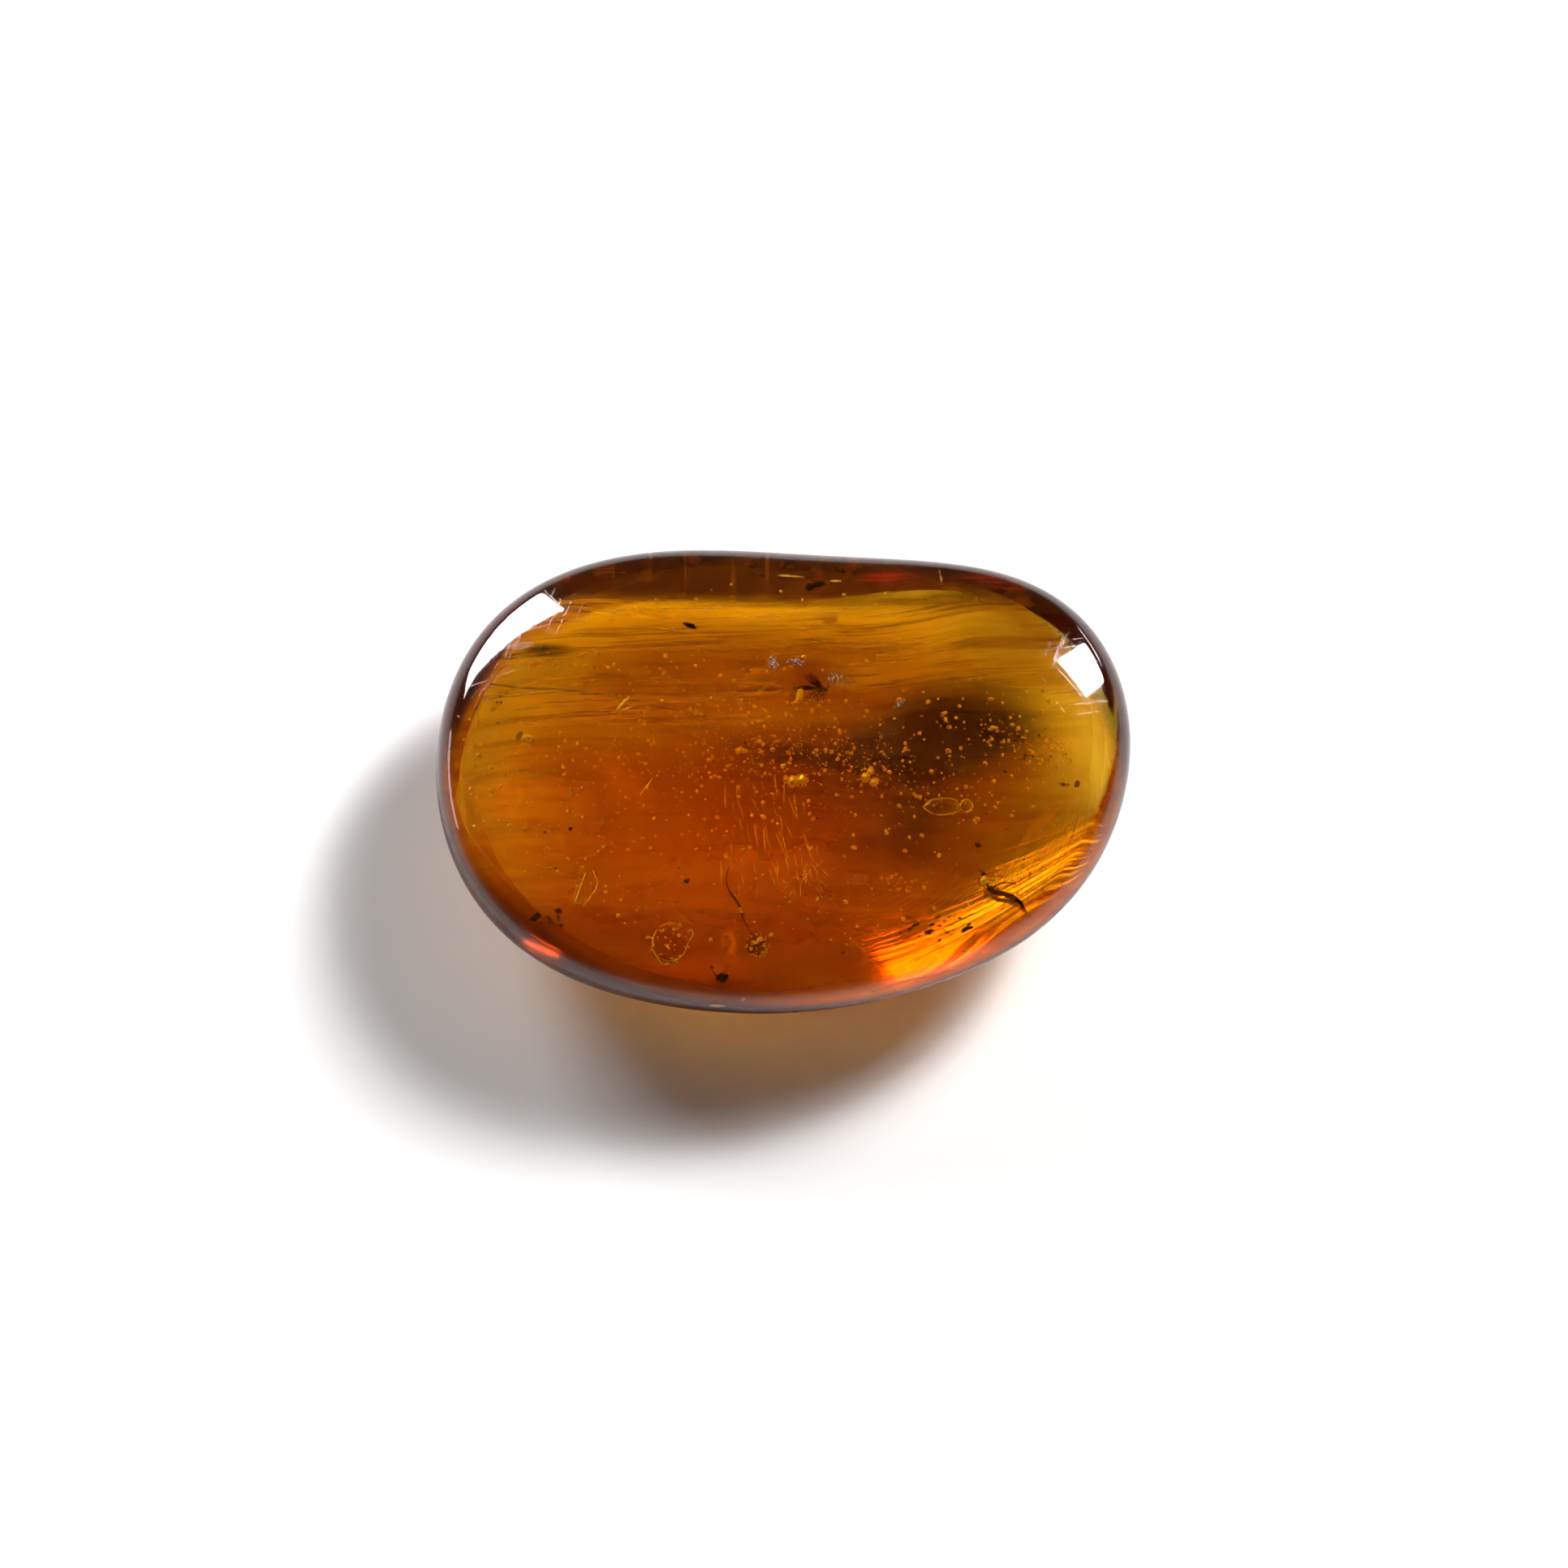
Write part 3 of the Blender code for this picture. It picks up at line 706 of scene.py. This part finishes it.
brown_flow = near * ramp(x, 4.0 * MM, -3.0 * MM)
red_flow = ramp(flow_streaks(here, 80.0, 900.0, 0.06), 0.25, 0.6, 0.5, 1.0)
red_flow = blot(x, y, (-0.5, -7.8), (9.5, 4.2)) * red_flow
cover = 0.6 * near + 0.7 * rim_shade + 0.55 * painted_beam + 0.9 * scale
cover = cover + 0.35 * painted_glow + 0.45 * red_flow
sheet = veil_mesh("near_veil", level=6.6, tilt=0.0, wave=0.0, reach=0.996)
veil("near_veil", sheet, resin, shader, cover.at_most(0.9), AMBER_FLOW, [
    (streaks, AMBER_STREAK), (red_flow, RED_FLOW), (brown_flow, DEEP_BROWN),
    (painted_rim_shade, RIM_SHADE_BROWN), (painted_beam, PAINTED_BEAM_GOLD), (painted_glow, PAINTED_GOLD_GLOW),
    (scale, SCALE_ORANGE)])


# A crazed split lies in the lower right corner, along the belly. Its air film mirrors the lamp up
# through the resin in fine bright streaks, crossed by darker healed lines. The film is drawn as gold
# and orange metal, so the streaks' colour is a painted sheen.
SPLIT_PLACE = (4.8, -9.0, 5.35)
SPLIT_SLOPE = (0.18, -0.03)
SPLIT_BEND = (-0.00535, -0.0045)
SPLIT_SHARES = (0.62, 0.95)
SPLIT_TURNS = (-76, 2)
SPLIT_ROWS, SPLIT_COLUMNS = 24, 96
STREAK_LEAN = math.radians(20)
STREAK_BEND = 16.7
SHEEN_ORANGE = (1.0, 0.4, 0.06)
SHEEN_GOLD = (1.0, 0.76, 0.36)
SPLIT_RELIEF = 0.02 * MM

sheet = bmesh.new()
grid = []
for share in np.linspace(*SPLIT_SHARES, SPLIT_ROWS + 1):
    line = []
    for turn in np.linspace(*SPLIT_TURNS, SPLIT_COLUMNS + 1):
        place = float(share) * Vector(outline(math.radians(turn)))
        east, north = place.x - SPLIT_PLACE[0], place.y - SPLIT_PLACE[1]
        slope = SPLIT_SLOPE[0] * east + SPLIT_SLOPE[1] * north
        rise = slope + (SPLIT_BEND[0] * east + SPLIT_BEND[1] * north) * east
        line.append(sheet.verts.new(Vector((place.x, place.y, SPLIT_PLACE[2] + rise)) * MM))
    grid.append(line)
for below, above in zip(grid, grid[1:]):
    for a, b, c, d in zip(below, below[1:], above[1:], above):
        sheet.faces.new((d, c, b, a))
bmesh.ops.recalc_face_normals(sheet, faces=sheet.faces)
split_mesh = smooth_mesh("split_film", sheet)

film, shader = new_material("split_film")
here = place_on(film)
x, y = parts_of(here)[:2]
turn, reach = plan_turn(x, y), plan_reach(x, y)
along = x * math.cos(STREAK_LEAN) + y * math.sin(STREAK_LEAN)
beside = y * math.cos(STREAK_LEAN) - x * math.sin(STREAK_LEAN)
bend = STREAK_BEND * (along - 4.0 * MM) ** 2.0
bent = beside - bend + noise(here, 90.0, 1.0) * (0.5 * MM)
fan = (bent + 9.8 * MM) / (19.0 * MM - along)
fine = noise(vector(along * 50.0, fan * 80.0, 0.0), 1.0, 4.0, 0.65)
coarse = noise(vector(along * 60.0, fan * 34.0, 3.0), 1.0, 3.0, 0.6)
rise = noise(vector(along * 40.0, fan * 60.0, 7.0), 1.0, 2.0, 0.5)
edge = 0.7 + 0.55 * (turn + math.radians(42)) ** 2.0
inner = ramp(reach + (coarse - 0.5) * 0.22 - edge, -0.06, 0.16)
outer = ramp(reach, 0.95, 0.92)
start = ramp(turn + (fine - 0.5) * 0.3, math.radians(-80), math.radians(-52))
finish = ramp(turn, 0.0, math.radians(-16))
streaks = ramp(fine, 0.42, 0.5, 0.25, 1.0) * ramp(coarse, 0.35, 0.55, 0.6, 1.0)
set_inputs(shader, {
    "Base Color": two_tone(ramp(fine, 0.45, 0.62), SHEEN_ORANGE, SHEEN_GOLD),
    "Metallic": 0.9, "Roughness": 0.21, "Normal": bump(rise, SPLIT_RELIEF),
    "Alpha": 0.97 * (inner * outer * start * finish) * streaks})
split_mesh.materials.append(film)
split_film = new_object("split_film", split_mesh)
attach(split_film, "root")


# The sealed insects and the pellet keep their CAD solids. They are dark brown husks that the resin
# set round, mottled all over, and the wings and the torn skin are clear as film.
HUSKS = {
    "midge": ((0.004, 0.0015, 0.001), (0.02, 0.005, 0.001)),
    "curled_insect": ((0.012, 0.003, 0.001), (0.1, 0.014, 0.003)),
    "black_pellet": ((0.004, 0.003, 0.003), (0.02, 0.01, 0.006)),
}
# Each row holds the middle, half sizes and turn of the oval that the film lies in, and its cover.
FILMS = {
    "midge": ((1.4, 5.25), (0.95, 0.62), 0, 0.22),
    "curled_insect": ((11.25, -6.65), (0.65, 0.34), -24, 0.25),
}

for name, (dark, light) in HUSKS.items():
    skin, shader = new_material(name + "_husk")
    here = place_on(skin)
    mottle = ramp(noise(here, 3500.0, 4.0), 0.4, 0.65)
    set_inputs(shader, {
        "Base Color": two_tone(mottle, dark, light), "Roughness": 0.5, "Specular IOR Level": 0.08})
    if name in FILMS:
        *patch, film_cover = FILMS[name]
        x, y = parts_of(here)[:2]
        film = (2.5 * blot(x, y, *patch)).at_most(1.0)
        set_inputs(shader, {"Alpha": 1.0 - film * (1.0 - film_cover)})
    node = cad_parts[name]
    node.data.materials.clear()
    node.data.materials.append(skin)
    node.data.shade_smooth()


# Loose debris fell into the resin: hairs and a stalk, soil grains and crumbs of bark, all dull and
# dark. Each was wetted by the resin and holds wherever it was overtaken.
STRANDS = {
    "long_hair": (0.05, [
        (-15.2, 4.7, 7.6), (-13.2, 4.35, 7.8), (-11.1, 4.2, 7.9), (-8.5, 3.8, 7.8),
        (-6.4, 3.3, 7.7), (-4.0, 2.8, 7.6)]),
    "stalk": (0.06, [
        (-2.75, -6.35, 6.9), (-2.5, -6.7, 6.9), (-2.25, -7.1, 6.7), (-2.1, -7.6, 6.6),
        (-1.75, -8.2, 6.4), (-1.55, -8.6, 6.3)]),
    "stalk_hook": (0.05, [
        (-2.5, -6.7, 6.9), (-2.75, -6.4, 6.95), (-2.95, -5.7, 6.9), (-2.85, -5.1, 6.8)]),
    "blob_hair": (0.03, [
        (-3.6, -10.5, 7.2), (-3.35, -10.75, 7.15), (-3.0, -10.5, 7.2), (-2.8, -10.2, 7.3)]),
    "side_hair": (0.02, [(9.9, -5.1, 6.9), (10.3, -5.35, 6.9), (10.9, -5.45, 6.9)]),
}
GRAINS = [
    ((-1.37, -8.9, 6.2), (0.4, 0.46, 0.3), 0),
    ((-3.14, -10.75, 7.1), (0.3, 0.2, 0.18), 15), ((-3.67, -10.3, 7.3), (0.1, 0.08, 0.08), 0),
    ((-4.97, -6.0, 7.8), (0.13, 0.12, 0.1), 30), ((9.88, -4.0, 7.6), (0.17, 0.1, 0.1), -20),
    ((14.28, -0.75, 7.6), (0.13, 0.11, 0.1), 0), ((15.0, -0.68, 7.5), (0.19, 0.14, 0.12), 70),
    ((-10.9, -3.22, 7.7), (0.12, 0.08, 0.08), 20), ((-11.46, -7.36, 7.4), (0.2, 0.12, 0.1), -10),
    ((-12.6, -7.65, 7.2), (0.3, 0.16, 0.1), 30), ((-4.9, 7.66, 8.1), (0.35, 0.12, 0.1), -20),
    ((-13.6, 1.8, 7.8), (0.25, 0.14, 0.1), 60), ((10.13, -5.33, 6.9), (0.16, 0.1, 0.1), 50),
    ((-14.9, 3.4, 7.4), (0.12, 0.1, 0.08), 0), ((-14.7, 2.6, 7.5), (0.1, 0.08, 0.08), 0),
]
SPECKS = {
    "corner_specks": (34, (14.9, 6.9, 7.7), (0.95, 1.0, 0.3), -50, 0.04, 0.13, (1.3, 1.0, 0.8), 3.2),
    "left_specks": (18, (-14.7, 3.8, 7.9), (0.4, 0.95, 0.2), -15, 0.035, 0.07, (1.5, 0.8, 0.8), 3.2),
    "streak_specks": (14, (12.0, 1.6, 7.0), (2.0, 0.9, 0.3), -20, 0.03, 0.09, (1.5, 1.0, 1.0), 3.2),
    "flake_bits": (16, (-12.0, -7.7, 7.3), (1.0, 0.4, 0.2), -15, 0.05, 0.14, (1.6, 0.9, 0.6), 3.2),
    "brown_bits": (18, (7.6, -8.3, 6.9), (2.0, 0.7, 0.2), 12, 0.05, 0.16, (1.8, 0.8, 0.5), 0.6),
    "crumbs": (90, (0.0, 0.0, 7.4), (15.5, 10.0, 0.9), 0, 0.02, 0.07, (1.4, 1.0, 1.0), 3.2),
}
SOIL_BLACK = (0.004, 0.002, 0.002)
BARK_BROWN = (0.06, 0.015, 0.004)

soil, shader = new_material("dark_debris")
mottle = ramp(noise(place_on(soil), 4000.0, 3.0), 0.4, 0.7)
set_inputs(shader, {"Base Color": two_tone(mottle, SOIL_BLACK, BARK_BROWN), "Roughness": 0.7})
scraps = [strand_mesh(name, points, radius) for name, (radius, points) in STRANDS.items()]
scraps += [ball_mesh("grain", *grain, wrinkle=0.5, grain=1.6, sides=16) for grain in GRAINS]
scraps += swarm_meshes(SPECKS, 1000, soil)
debris_mesh = join("debris", scraps)
debris_mesh.materials.append(soil)
debris = new_object("debris", debris_mesh)
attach(debris, "root")


# Dust has settled on the polished face since it was last wiped: pale flakes, lint and fine motes,
# each lying on the amber where it fell.
DUST_LEVEL = 12.0
DUST_GREY = (0.22, 0.2, 0.18)
FLAT = (1.5, 0.8, 0.2)
DUST = {
    "motes": (240, (-0.5, 0.0, DUST_LEVEL), (16.3, 10.8, 0.0), 0, 0.012, 0.035, (1.3, 1.0, 0.6), 3.2),
    "lint": (26, (-0.5, 0.0, DUST_LEVEL), (15.5, 10.0, 0.0), 0, 0.12, 0.3, (1.0, 0.05, 0.05), 3.2),
    "left_flake": (46, (-0.55, 5.25, DUST_LEVEL), (0.26, 0.42, 0.0), 10, 0.02, 0.07, FLAT, 3.2),
    "middle_flake": (40, (0.6, 5.35, DUST_LEVEL), (0.55, 0.22, 0.0), -8, 0.02, 0.06, FLAT, 3.2),
    "right_flake": (50, (2.7, 4.4, DUST_LEVEL), (0.8, 0.3, 0.0), -25, 0.015, 0.055, FLAT, 3.2),
    "low_flake": (24, (5.9, 3.0, DUST_LEVEL), (0.3, 0.2, 0.0), 30, 0.015, 0.045, FLAT, 3.2),
}


def draped(mesh):
    """The mesh laid on the pebble's face, each point as far above it as it was above DUST_LEVEL."""
    high, down = 100 * MM, Vector((0, 0, -1))
    for vert in mesh.vertices:
        found, place = clear_amber.ray_cast(Vector((vert.co.x, vert.co.y, high)), down)[:2]
        if found:
            vert.co.z += place.z - DUST_LEVEL * MM
    return mesh


pale, shader = new_material("pale_dust")
set_inputs(shader, {
    "Base Color": (*DUST_GREY, 1.0), "Roughness": 0.9, "Specular IOR Level": 0.2})
bpy.context.view_layer.update()
dust_mesh = join("dust", [draped(mesh) for mesh in swarm_meshes(DUST, 2000, pale)])
dust_mesh.materials.append(pale)
dust = new_object("dust", dust_mesh)
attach(dust, "root")


# The floor is a plain matt white sheet. Two softboxes behind the pebble, left and right, a card and a
# strip light the amber, and wider banks in the same places light the sheet. It is pale at the horizon
# and dark overhead.
FLOOR_SIZE = 1.2
FLOOR_DROP = 0.02 * MM
FLOOR_WHITE = 0.9
BOX_DISTANCE = 600 * MM
LEFT = (-0.58, 0.72, 0.52)
RIGHT = (0.72, 0.66, 0.83)
# Each row holds a lamp's direction, width, height and brightness.
LAMPS = {
    "softbox_left": (LEFT, 270 * MM, 205 * MM, 32),
    "softbox_right": (RIGHT, 96 * MM, 114 * MM, 62),
    "card": ((-0.95, 0.2, 0.2), 240 * MM, 100 * MM, 6),
    "strip_right": ((0.66, 0.66, 0.36), 120 * MM, 28 * MM, 40),
    "left_bank": (LEFT, 260 * MM, 200 * MM, 15),
    "bank": (RIGHT, 220 * MM, 220 * MM, 23),
    "fill": ((0, -0.2, 1), 800 * MM, 800 * MM, 0.12),
}
SKY_STOPS = [(0.1, 0.6), (0.15, 0.18), (0.5, 0.01)]
SKY_TINT = (1.0, 0.92, 0.86)

floor_mesh = bpy.data.meshes.new("floor")
edge = FLOOR_SIZE / 2
corners = [(-edge, -edge, 0), (edge, -edge, 0), (edge, edge, 0), (-edge, edge, 0)]
floor_mesh.from_pydata(corners, [], [(0, 1, 2, 3)])
floor_mesh.transform(Matrix.Translation((0, 0, -FLOOR_DROP)))
white, shader = new_material("floor")
set_inputs(shader, {
    "Base Color": (FLOOR_WHITE, FLOOR_WHITE, FLOOR_WHITE, 1), "Roughness": 0.9,
    "Specular IOR Level": 0.0})
floor_mesh.materials.append(white)
floor = new_object("floor", floor_mesh)

lamps = {}
for name, (direction, width, height, brightness) in LAMPS.items():
    towards = Vector(direction).normalized()
    light = bpy.data.lights.new(name, "AREA")
    light.shape = "RECTANGLE"
    light.size = width
    light.size_y = height
    light.energy = brightness * width * height * math.pi
    lamp = new_object(name, light)
    lamp.location = towards * BOX_DISTANCE
    lamp.rotation_euler = (-towards).to_track_quat("-Z", "Y").to_euler()
    lamps[name] = lamp
for name in ("softbox_left", "card"):
    lamps[name].visible_diffuse = False
for name in ("left_bank", "bank", "fill"):
    lamps[name].visible_glossy = False
    lamps[name].visible_transmission = False

world = bpy.data.worlds.new("surround")
scene.world = world
world.use_nodes = True
look = Socket(world.node_tree).node("ShaderNodeTexCoord", output="Generated")
glow = look.node("ShaderNodeValToRGB", {"stops": SKY_STOPS}, {0: parts_of(look)[2]})
warm = look.node(
    "ShaderNodeMix", {"data_type": "RGBA", "blend_type": "MULTIPLY"},
    {0: 1.0, 6: glow, 7: (*SKY_TINT, 1.0)}, 2)
set_inputs(world.node_tree.nodes["Background"], {"Color": warm})

scene.view_settings.view_transform = "Standard"
scene.cycles.max_bounces = 24
scene.cycles.transmission_bounces = 18
scene.cycles.transparent_max_bounces = 24
scene.cycles.glossy_bounces = 10
scene.cycles.diffuse_bounces = 3
scene.cycles.sample_clamp_indirect = 10
